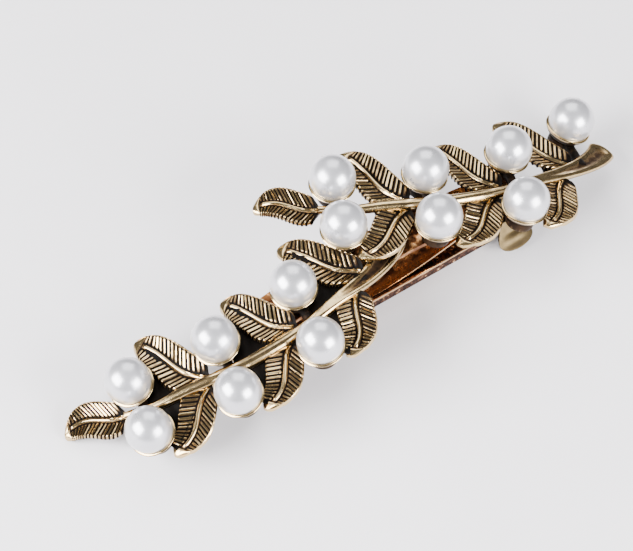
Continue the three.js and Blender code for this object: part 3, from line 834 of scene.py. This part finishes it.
def sprig_piece(key, sizes, leaf, cup):
    """A whole casting: its stem, leaves, dark webs of painted shadow, cups and arms."""
    sprig = SPRIGS[key]
    parts = [stem_piece(f"{key}_stem", sprig, sizes)]
    for index, spec in enumerate(LEAVES):
        parts.append(fitted_leaf(leaf, f"{key}_leaf_{index}", sprig, sizes, spec))
        if index:
            parts.append(web_piece(f"{key}_web_{index}", sprig, sizes, spec))
    for index, (u, v, tilt, centre) in enumerate(pearl_places(sprig, sizes)):
        parts.append(placed(copied(cup, f"{key}_cup_{index}"), tilt, centre))
        parts.append(branch_piece(f"{key}_branch_{index}", sprig, sizes, u, v))
    piece = cleaned(joined(parts, f"{key}_sprig_casting"), 50)
    finished(piece, "base", f"{key}_sprig", "Antique Gold")


class BARRETTE_OT_sprigs(bpy.types.Operator):
    """Model the two cast sprigs with their leaves, stems and pearl cups"""
    bl_idname = "barrette.sprigs"
    bl_label = "Cast Sprigs"

    def execute(self, context):
        sizes = context.scene.barrette_sprig
        leaf = leaf_master(sizes)
        cup = cup_master(sizes)
        for key in SPRIGS:
            sprig_piece(key, sizes, leaf, cup)
        bpy.data.objects.remove(leaf)
        bpy.data.objects.remove(cup)
        return {"FINISHED"}


def pearl_master(sizes):
    """A ball with a bore up from its underside for the cup's peg."""
    radius, bore, depth = sizes.pearl_radius, 0.75 * MM, 2.4 * MM
    flat = -math.sqrt(radius * radius - bore * bore)
    ball = made("pearl_master", bpy.ops.mesh.primitive_uv_sphere_add, segments=64, ring_count=40,
                radius=radius)
    with editing(ball):
        bpy.ops.mesh.bisect(plane_co=(0, 0, flat), plane_no=(0, 0, -1), clear_outer=True, use_fill=True)
        bpy.ops.mesh.extrude_region_move(TRANSFORM_OT_translate={"value": (0, 0, depth)})
    return cleaned(ball, 50)


class BARRETTE_OT_pearls(bpy.types.Operator):
    """Model one imitation pearl and set a copy in every cup"""
    bl_idname = "barrette.pearls"
    bl_label = "Pearls"

    def execute(self, context):
        sizes = context.scene.barrette_sprig
        ball = pearl_master(sizes)
        for key, sprig in SPRIGS.items():
            for number, (_, _, tilt, centre) in enumerate(pearl_places(sprig, sizes), 1):
                piece = placed(copied(ball, f"{key}_bead_{number}"), tilt, centre)
                finished(piece, "base", f"{key}_pearl_{number}", "Pearl White")
        bpy.data.objects.remove(ball)
        return {"FINISHED"}


# ---- clip -------------------------------------------------------------------------------

# What the clip's parts share: how far in from the ends the pin and the rivet stand, how far the catch plate
# stops short of the free end, the room beside the arm for its lugs, the thin gap under a soldered part,
# half the length of the drill for the pin's hole, and the steps along a long strip
HINGE_INSET = 2 * MM
RIVET_INSET = 3.9 * MM
CATCH_INSET = 0.7 * MM
LUG_GAP = 0.3 * MM
SOLDER_GAP = 0.2 * MM
HALF_DRILL = 6 * MM
STRIP_STEPS = 60


def span(side, near, far):
    """The lower and upper y of what lies between two distances out, on side -1 or 1."""
    return sorted((side * near, side * far))


def pin_x(clip):
    return HINGE_INSET - clip.length / 2


def rivet_x(clip):
    return clip.length / 2 - RIVET_INSET


def pin_hole(clip):
    return rod_across("pin_hole", clip.pin + clip.pin_gap, pin_x(clip), clip.pin_height,
                      -HALF_DRILL, HALF_DRILL)


def rivet_hole(clip):
    return rod_up("rivet_hole", clip.rivet + 0.2 * MM, rivet_x(clip), 0, 0, clip.plate_crown + MM)


class BARRETTE_OT_base_plate(bpy.types.Operator):
    """Model the arched base plate with its two hinge lugs"""
    bl_idname = "barrette.base_plate"
    bl_label = "Base Plate"

    def execute(self, context):
        clip = context.scene.barrette_clip
        half = clip.length / 2
        piece = strip("arched_base_plate", -half, half, clip.plate_half,
                      lambda x: plate_top(clip, x), clip.plate_thickness, STRIP_STEPS)
        lugs = []
        inner = clip.arm_width / 2 + LUG_GAP
        low, high = pin_x(clip) - clip.knuckle, pin_x(clip) + clip.knuckle
        top = plate_top(clip, high) - clip.plate_thickness / 2
        for side in (-1, 1):
            near, far = span(side, inner, inner + clip.lug)
            lugs.append(rod_across("lug_round", clip.knuckle, pin_x(clip), clip.pin_height, near, far))
            lugs.append(box("lug_web", (low, near, clip.pin_height), (high, far, top)))
        combined(piece, lugs, "UNION")
        combined(piece, [pin_hole(clip), rivet_hole(clip)], "DIFFERENCE")
        # A faint painted highlight along the plate's long edges
        painted_edge_highlight(rounded(piece, 0.12 * MM), clip.plate_half, share=0.45)
        finished(piece, "base", "base_plate", "Rose Gold")
        return {"FINISHED"}


class BARRETTE_OT_hinge_pin(bpy.types.Operator):
    """Model the hinge pin with its two flat heads"""
    bl_idname = "barrette.hinge_pin"
    bl_label = "Hinge Pin"

    def execute(self, context):
        clip = context.scene.barrette_clip
        end = clip.arm_width / 2 + LUG_GAP + clip.lug + 0.2 * MM
        head = 0.4 * MM
        piece = rod_across("headed_hinge_pin", clip.pin, pin_x(clip), clip.pin_height, -end, end)
        heads = []
        for side in (-1, 1):
            near, far = span(side, end, end + head)
            heads.append(rod_across("pin_head", clip.pin_head, pin_x(clip), clip.pin_height, near, far))
        combined(piece, heads, "UNION")
        rounded(piece, 0.12 * MM, 3)
        finished(piece, "base", "hinge_pin", "Rose Gold")
        return {"FINISHED"}


class BARRETTE_OT_clasp_arm(bpy.types.Operator):
    """Model the channel-shaped clasp arm with its hinge cheeks and slotted nose"""
    bl_idname = "barrette.clasp_arm"
    bl_label = "Clasp Arm"

    def execute(self, context):
        clip = context.scene.barrette_clip
        half, end, start = clip.arm_width / 2, clip.length / 2, pin_x(clip)
        inside = half - clip.arm_flange
        piece = box("channel_clasp_arm", (start, -half, 0), (end, half, clip.arm_floor))
        added = []
        for side in (-1, 1):
            near, far = span(side, inside, half)
            added.append(box("flange", (start, near, 0), (end, far, clip.arm_height)))
            added.append(rod_across("cheek", clip.knuckle, start, clip.pin_height, near, far))
            added.append(box("cheek_post", (start - clip.knuckle / 2, near, 0),
                             (start + clip.knuckle, far, clip.pin_height)))
        combined(piece, added, "UNION")
        slot_room, nose_rise = 0.9 * MM, 1.2 * MM
        slot_low = rivet_x(clip) - clip.ear_length / 2 - slot_room
        slot_high = rivet_x(clip) + clip.ear_length / 2 + slot_room
        slot = box("slot", (slot_low, -inside, -MM), (slot_high, inside, 3 * MM))
        nose = box("nose_relief", (slot_low, -half - MM, -MM), (end + MM, half + MM, nose_rise))
        combined(piece, [slot, nose, pin_hole(clip)], "DIFFERENCE")
        bridge = box("bridge", (slot_high, -half, nose_rise), (end, half, clip.arm_height))
        combined(piece, [bridge], "UNION")
        # The flange tops get a painted highlight, and the arm's finish is painted dark as shade
        painted_edge_highlight(rounded(piece, 0.1 * MM), half, clip.arm_height - 0.12 * MM)
        finished(piece, "arm", "clasp_arm", "Shaded Rose Gold")
        return {"FINISHED"}


class BARRETTE_OT_tension_bar(bpy.types.Operator):
    """Model the sprung strip that bows down towards the arm, with its eye round the pin"""
    bl_idname = "barrette.tension_bar"
    bl_label = "Tension Bar"

    def execute(self, context):
        clip = context.scene.barrette_clip
        half = clip.bar_width / 2
        low_x, low_z = -7 * MM, 1.6 * MM
        start, end = pin_x(clip), clip.length / 2 - 8.5 * MM
        rise = clip.pin_height + clip.bar_eye - clip.bar_thickness / 2 - low_z
        run = low_x - start
        bow = (run * run + rise * rise) / (2 * rise)
        top = low_z + clip.bar_thickness / 2
        piece = strip("bowed_tension_bar", start, end, half,
                      lambda x: top + bow - math.sqrt(bow * bow - (x - low_x) ** 2),
                      clip.bar_thickness, STRIP_STEPS)
        combined(piece, [rod_across("bar_eye", clip.bar_eye, start, clip.pin_height, -half, half)], "UNION")
        combined(piece, [pin_hole(clip)], "DIFFERENCE")
        # A painted highlight along the bar's long edges
        painted_edge_highlight(rounded(piece, 0.08 * MM), half)
        finished(piece, "bar", "tension_bar", "Rose Gold")
        return {"FINISHED"}


class BARRETTE_OT_catch(bpy.types.Operator):
    """Model the catch plate and the rivet that holds it under the base plate"""
    bl_idname = "barrette.catch"
    bl_label = "Catch Plate and Rivet"

    def execute(self, context):
        clip = context.scene.barrette_clip
        depth = clip.plate_thickness + SOLDER_GAP
        high = clip.length / 2 - CATCH_INSET
        plate_length, plate_thick = 6.4 * MM, 0.6 * MM
        plate = strip("riveted_catch_plate", high - plate_length, high, clip.plate_half,
                      lambda x: plate_top(clip, x) - depth, plate_thick, 10)
        combined(plate, [rivet_hole(clip)], "DIFFERENCE")
        rounded(plate, 0.1 * MM)
        finished(plate, "base", "catch_plate", "Rose Gold")
        x, head = rivet_x(clip), clip.rivet_head
        top = plate_top(clip, x - head) + 0.1 * MM
        foot = plate_top(clip, x + head) - depth - plate_thick - 0.1 * MM
        rivet = rod_up("catch_rivet_shank", clip.rivet, x, 0, foot, top)
        heads = [rod_up("rivet_top", head, x, 0, top, top + 0.4 * MM),
                 rod_up("rivet_foot", 1.1 * MM, x, 0, foot - 0.2 * MM, foot)]
        combined(rivet, heads, "UNION")
        rounded(rivet, 0.09 * MM, 3)
        finished(rivet, "base", "catch_rivet", "Rose Gold")
        return {"FINISHED"}


def ear_piece(clip, side, name):
    """A tab under the catch plate, a barbed prong through the nose, and a domed pad flared outward."""
    thick = clip.ear_thickness
    root = plate_top(clip, clip.length / 2 - CATCH_INSET) - clip.plate_thickness - 1.2 * MM
    low, high = rivet_x(clip) - clip.ear_length / 2, rivet_x(clip) + clip.ear_length / 2
    inner, edge = 1.5 * MM, clip.plate_half + thick
    drop, slope = clip.ear_drop, clip.ear_slope
    pad_length = clip.ear_neck + 2 * drop - 0.02 * MM
    middle = clip.ear_neck + drop

    def place(p):
        far = (0.5 + p.y * side) * pad_length
        off = min(abs(far - middle) / drop, 1)
        ring = clip.ear_pad * math.sqrt(1 - off ** 2)
        root_half = mix(clip.ear_length / 2, clip.ear_pad, smooth(far, 0, middle))
        half = root_half if far < middle else ring
        across = p.x * 2
        dome = 0.4 * MM * (1 - across ** 2) * (1 - off ** 2) ** 2 + thick / 2
        y = edge - thick / 2 + far * math.sin(slope) + dome * math.cos(slope)
        z = root - thick / 2 - far * math.cos(slope) + dome * math.sin(slope)
        return Vector((rivet_x(clip) + across * half, side * y, z))

    def block(part, outer, low_z, high_z):
        near, far = span(side, inner, outer)
        return box(part, (low, near, low_z), (high, far, high_z))

    piece = moved(grid(name, 26, 30), place)
    with_modifier(piece, "SOLIDIFY", thickness=thick, offset=-1)
    cleaned(piece)
    prong_foot = 0.5 * MM
    added = [block("tab", edge, root - thick, root), block("prong", inner + thick, prong_foot, root),
             block("barb", 2.5 * MM, prong_foot, MM)]
    combined(piece, added, "UNION")
    return rounded(piece, 0.1 * MM)


class BARRETTE_OT_release_ears(bpy.types.Operator):
    """Model the two release ears, mirror twins with domed finger pads"""
    bl_idname = "barrette.release_ears"
    bl_label = "Release Ears"

    def execute(self, context):
        clip = context.scene.barrette_clip
        for side, key in ((-1, "front"), (1, "back")):
            piece = ear_piece(clip, side, f"{key}_domed_ear")
            finished(piece, f"{key}_ear", f"{key}_release_ear", "Pale Gold")
        return {"FINISHED"}


# ---- stage ------------------------------------------------------------------------------

# Each soft light: its place, its width and height, and its power in watts
SOFT_LIGHTS = {
    "left_softbox": ((-0.44, 0.08, 0.30), (0.44, 0.34), 15.0),
    "right_softbox": ((0.14, -0.47, 0.24), (0.34, 0.32), 11.0),
    "back_softbox": ((0.20, 0.28, 0.50), (0.46, 0.46), 2.8),
}
LIGHTS_AIM = (0, 0, 0.01)
FLOOR_SIZE = 3
FLOOR_DROP = 0.05 * MM


def area_light(name, place, size, watts):
    bpy.ops.object.light_add(type="AREA", location=place)
    lamp = bpy.context.object
    lamp.name = name
    lamp.data.shape = "RECTANGLE"
    lamp.data.size, lamp.data.size_y = size
    lamp.data.energy = watts
    lamp.rotation_euler = (Vector(LIGHTS_AIM) - Vector(place)).to_track_quat("-Z", "Y").to_euler()


class BARRETTE_OT_stage(bpy.types.Operator):
    """Set the pale floor, the soft lights and the camera"""
    bl_idname = "barrette.stage"
    bl_label = "Stage"

    def execute(self, context):
        stage = context.scene.barrette_stage
        floor = made("floor", bpy.ops.mesh.primitive_plane_add, size=FLOOR_SIZE, location=(0, 0, -FLOOR_DROP))
        floor.data.materials.append(floor_paper("Floor Paper"))
        for name, (place, size, watts) in SOFT_LIGHTS.items():
            area_light(name, place, size, watts)
        world = bpy.data.worlds.new("Soft Studio")
        world.use_nodes = True
        sky = world.node_tree.nodes["Background"]
        plugged(world.node_tree, sky, Color=(0.95, 0.96, 1.0, 1), Strength=0.18)
        context.scene.world = world
        aim = Vector(stage.aim)
        a, e = stage.azimuth, stage.elevation
        back = Vector((math.sin(a) * math.cos(e), -math.cos(a) * math.cos(e), math.sin(e)))
        bpy.ops.object.camera_add(location=aim + back * stage.distance)
        camera = bpy.context.object
        camera.name = "camera"
        camera.rotation_euler = (-back).to_track_quat("-Z", "Y").to_euler()
        camera.data.lens = stage.lens
        camera.data.sensor_width = 36
        camera.data.clip_start = 0.01
        context.scene.camera = camera
        return {"FINISHED"}


class BARRETTE_PT_panel(bpy.types.Panel):
    """Every step of the barrette, in order"""
    bl_label = "Barrette"
    bl_idname = "BARRETTE_PT_panel"
    bl_space_type = "VIEW_3D"
    bl_region_type = "UI"
    bl_category = "Barrette"

    def draw(self, context):
        for step in STEPS:
            self.layout.operator(step.bl_idname)


STEPS = (
    BARRETTE_OT_sprigs,
    BARRETTE_OT_pearls,
    BARRETTE_OT_base_plate,
    BARRETTE_OT_hinge_pin,
    BARRETTE_OT_clasp_arm,
    BARRETTE_OT_tension_bar,
    BARRETTE_OT_catch,
    BARRETTE_OT_release_ears,
    BARRETTE_OT_stage,
)
SETTINGS = {
    "barrette_sprig": BarretteSprigSizes,
    "barrette_clip": BarretteClipSizes,
    "barrette_finishes": BarretteFinishes,
    "barrette_stage": BarretteStage,
}
CLASSES = (*SETTINGS.values(), *STEPS, BARRETTE_PT_panel)


def register():
    for cls in CLASSES:
        bpy.utils.register_class(cls)
    for name, group in SETTINGS.items():
        setattr(bpy.types.Scene, name, bpy.props.PointerProperty(type=group))


def unregister():
    for name in SETTINGS:
        delattr(bpy.types.Scene, name)
    for cls in reversed(CLASSES):
        bpy.utils.unregister_class(cls)


def main():
    """Builds every piece in order."""
    register()
    for step in STEPS:
        group, name = step.bl_idname.split(".")
        getattr(getattr(bpy.ops, group), name)()


if __name__ == "__main__":
    main()
